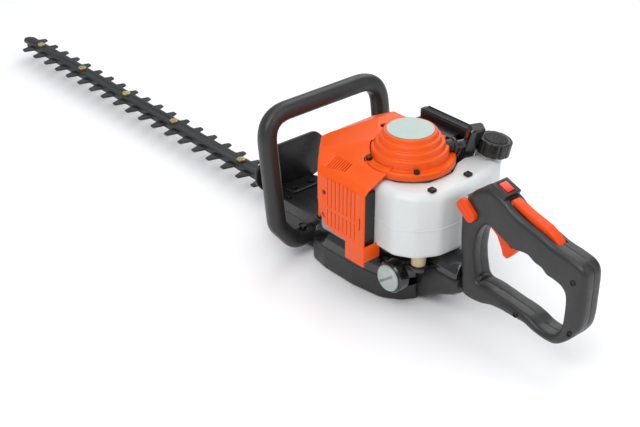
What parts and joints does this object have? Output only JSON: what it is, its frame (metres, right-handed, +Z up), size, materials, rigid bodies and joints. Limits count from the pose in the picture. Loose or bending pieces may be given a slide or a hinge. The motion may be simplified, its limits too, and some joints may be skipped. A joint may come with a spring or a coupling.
{
  "type": "hedge trimmer",
  "caption": "Petrol hedge trimmer with long reciprocating double-sided knives, loop front handle, swivelling rear handle with trigger, recoil starter and translucent tank.",
  "frame": {"origin": "on the flat underside, straight below the crank axis", "axes": "+Z up, blade towards -X, rear handle towards +X, muffler side -Y, air filter side +Y"},
  "size_m": [1.233, 0.224, 0.216],
  "materials": {
    "blade_steel": "dark satin",
    "zinc_screws": "zinc plated",
    "zinc_nuts": "yellow passivated",
    "painted_casting": "black painted casting",
    "gear_steel": "machined",
    "cast_alloy": "cast",
    "pressed_steel": "heat tinted",
    "soft_rubber": "matte",
    "black_plastic": "satin moulded",
    "orange_plastic": "glossy moulded",
    "black_screws": "black oxide",
    "label_foil": "printed foil, blank",
    "rope_fibre": "braided",
    "tank_plastic": "milky translucent",
    "mount_cups": "clear grey elastomer",
    "filter_foam": "open foam",
    "bulb_rubber": "translucent",
    "grey_plastic": "fine texture",
    "gloss_black": "gloss",
    "plug_plastic": "satin",
    "switch_red": "gloss",
    "grip_black": "fine texture"
  },
  "bodies": {
    "chassis": {"guide_bar": "blade_steel", "blade_bolts": "zinc_screws", "blade_nuts": "zinc_nuts", "gear_case_lower": "painted_casting", "gear_case_upper": "painted_casting", "gear_axle": "gear_steel", "clutch_housing": "cast_alloy", "crankcase": "cast_alloy", "shaft_bearings": "gear_steel", "cylinder": "cast_alloy", "muffler": "pressed_steel", "spark_plug": "pressed_steel", "plug_boot": "soft_rubber", "ignition_coil": "black_plastic", "fan_housing": "cast_alloy", "starter_housing": "orange_plastic", "housing_screws": "black_screws", "label_plate": "label_foil", "recoil_spring": "gear_steel", "rope_guide": "black_plastic", "fuel_tank": "tank_plastic", "tank_mounts": "mount_cups", "intake_flange": "black_plastic", "carburettor": "cast_alloy", "air_box": "black_plastic", "air_filter": "filter_foam", "engine_cowl": "orange_plastic", "cowl_liner": "black_plastic", "base_housing": "grey_plastic", "base_cover": "gloss_black", "swivel_spigot": "cast_alloy", "front_handle": "grip_black", "case_screws": "black_screws", "hand_guard": "grip_black"},
    "gear": {"drive_gear": "gear_steel", "drive_cams": "gear_steel"},
    "upper_blade": {"upper_knife": "blade_steel"},
    "lower_blade": {"lower_knife": "blade_steel"},
    "drum": {"clutch_drum": "gear_steel"},
    "crank": {"crankshaft": "gear_steel", "flywheel": "cast_alloy", "clutch_rotor": "gear_steel"},
    "piston_body": {"piston": "cast_alloy"},
    "pulley": {"starter_pulley": "black_plastic", "starter_rope": "rope_fibre"},
    "grip": {"starter_grip": "black_plastic"},
    "cap": {"fuel_cap": "black_plastic", "cap_gasket": "soft_rubber"},
    "filter_lid": {"filter_cover": "black_plastic"},
    "bulb": {"primer_bulb": "bulb_rubber"},
    "choke": {"choke_lever": "orange_plastic"},
    "door_plug": {"service_plug": "plug_plastic"},
    "rear_handle": {"handle_shell_left": "grey_plastic", "handle_shell_right": "grey_plastic", "handle_pins": "gear_steel", "switch_housing": "black_plastic"},
    "trigger": {"throttle_trigger": "orange_plastic"},
    "lockout": {"throttle_lockout": "orange_plastic"},
    "catch": {"swivel_catch": "orange_plastic"},
    "rocker": {"stop_switch": "switch_red"}
  },
  "joints": [
    {"name": "gear_spin", "type": "hinge", "parent": "chassis", "child": "gear", "pos_m": [-0.04, 0, 0.038], "axis": [0, 0, 1], "range_deg": [-90, 90]},
    {"name": "upper_knife_stroke", "type": "slide", "parent": "chassis", "child": "upper_blade", "axis": [1, 0, 0], "range_m": [-0.0086, 0.0086]},
    {"name": "lower_knife_stroke", "type": "slide", "parent": "chassis", "child": "lower_blade", "axis": [1, 0, 0], "range_m": [-0.0086, 0.0086]},
    {"name": "drum_spin", "type": "hinge", "parent": "chassis", "child": "drum", "pos_m": [0, 0, 0.06], "axis": [0, 0, 1], "range_deg": [-389, 389]},
    {"name": "crank_spin", "type": "hinge", "parent": "chassis", "child": "crank", "pos_m": [0, 0, 0.1], "axis": [0, 0, 1], "continuous": true},
    {"name": "piston_stroke", "type": "slide", "parent": "chassis", "child": "piston_body", "axis": [1, 0, 0], "range_m": [-0.012, 0.012]},
    {"name": "grip_pull", "type": "slide", "parent": "chassis", "child": "grip", "axis": [0, 0, 1], "range_m": [0, 0.5], "stiffness_N_per_m": 12, "springref_m": -0.3},
    {"name": "pulley_spin", "type": "hinge", "parent": "chassis", "child": "pulley", "pos_m": [0, 0, 0.183], "axis": [0, 0, 1], "range_deg": [-1400, 1400]},
    {"name": "cap_turn", "type": "hinge", "parent": "chassis", "child": "cap", "pos_m": [0.0505, 0.091, 0.166], "axis": [0.1129, 0.132, 0.9848], "range_deg": [0, 180]},
    {"name": "filter_cover_pull", "type": "slide", "parent": "chassis", "child": "filter_lid", "axis": [0, 1, 0], "range_m": [0, 0.1]},
    {"name": "primer_press", "type": "slide", "parent": "chassis", "child": "bulb", "axis": [1, 0, 0], "range_m": [0, 0.004], "stiffness_N_per_m": 400},
    {"name": "choke_turn", "type": "hinge", "parent": "chassis", "child": "choke", "pos_m": [-0.065, 0.056, 0.114], "axis": [0, 0, 1], "range_deg": [-40, 0]},
    {"name": "plug_turn", "type": "hinge", "parent": "chassis", "child": "door_plug", "pos_m": [0.03, -0.058, 0.0406], "axis": [0, 1, 0], "range_deg": [0, 90]},
    {"name": "handle_swivel", "type": "hinge", "parent": "chassis", "child": "rear_handle", "pos_m": [0.12, 0, 0.06], "axis": [1, 0, 0], "range_deg": [-90, 90]},
    {"name": "trigger_pull", "type": "hinge", "parent": "rear_handle", "child": "trigger", "pos_m": [0.146, 0, 0.149], "axis": [0, 1, 0], "range_deg": [-14, 0], "stiffness_Nm_per_rad": 0.15, "springref_deg": 17.19},
    {"name": "lockout_press", "type": "hinge", "parent": "rear_handle", "child": "lockout", "pos_m": [0.172, 0, 0.1855], "axis": [0, 1, 0], "range_deg": [0, 4], "stiffness_Nm_per_rad": 0.3, "springref_deg": -11.46},
    {"name": "catch_press", "type": "slide", "parent": "rear_handle", "child": "catch", "axis": [0, 1, 0], "range_m": [0, 0.004], "stiffness_N_per_m": 300},
    {"name": "rocker_tip", "type": "hinge", "parent": "rear_handle", "child": "rocker", "pos_m": [0.1547, 0, 0.197], "axis": [0, 1, 0], "range_deg": [-6, 6]}
  ],
  "couplings": [
    {"joint": "gear_spin", "follows": "drum_spin", "ratio": -0.23077},
    {"joint": "upper_knife_stroke", "follows": "drum_spin", "m_per_rad": 0.0012488},
    {"joint": "lower_knife_stroke", "follows": "drum_spin", "m_per_rad": -0.0012488},
    {"joint": "pulley_spin", "follows": "grip_pull", "rad_per_m": -48}
  ]
}
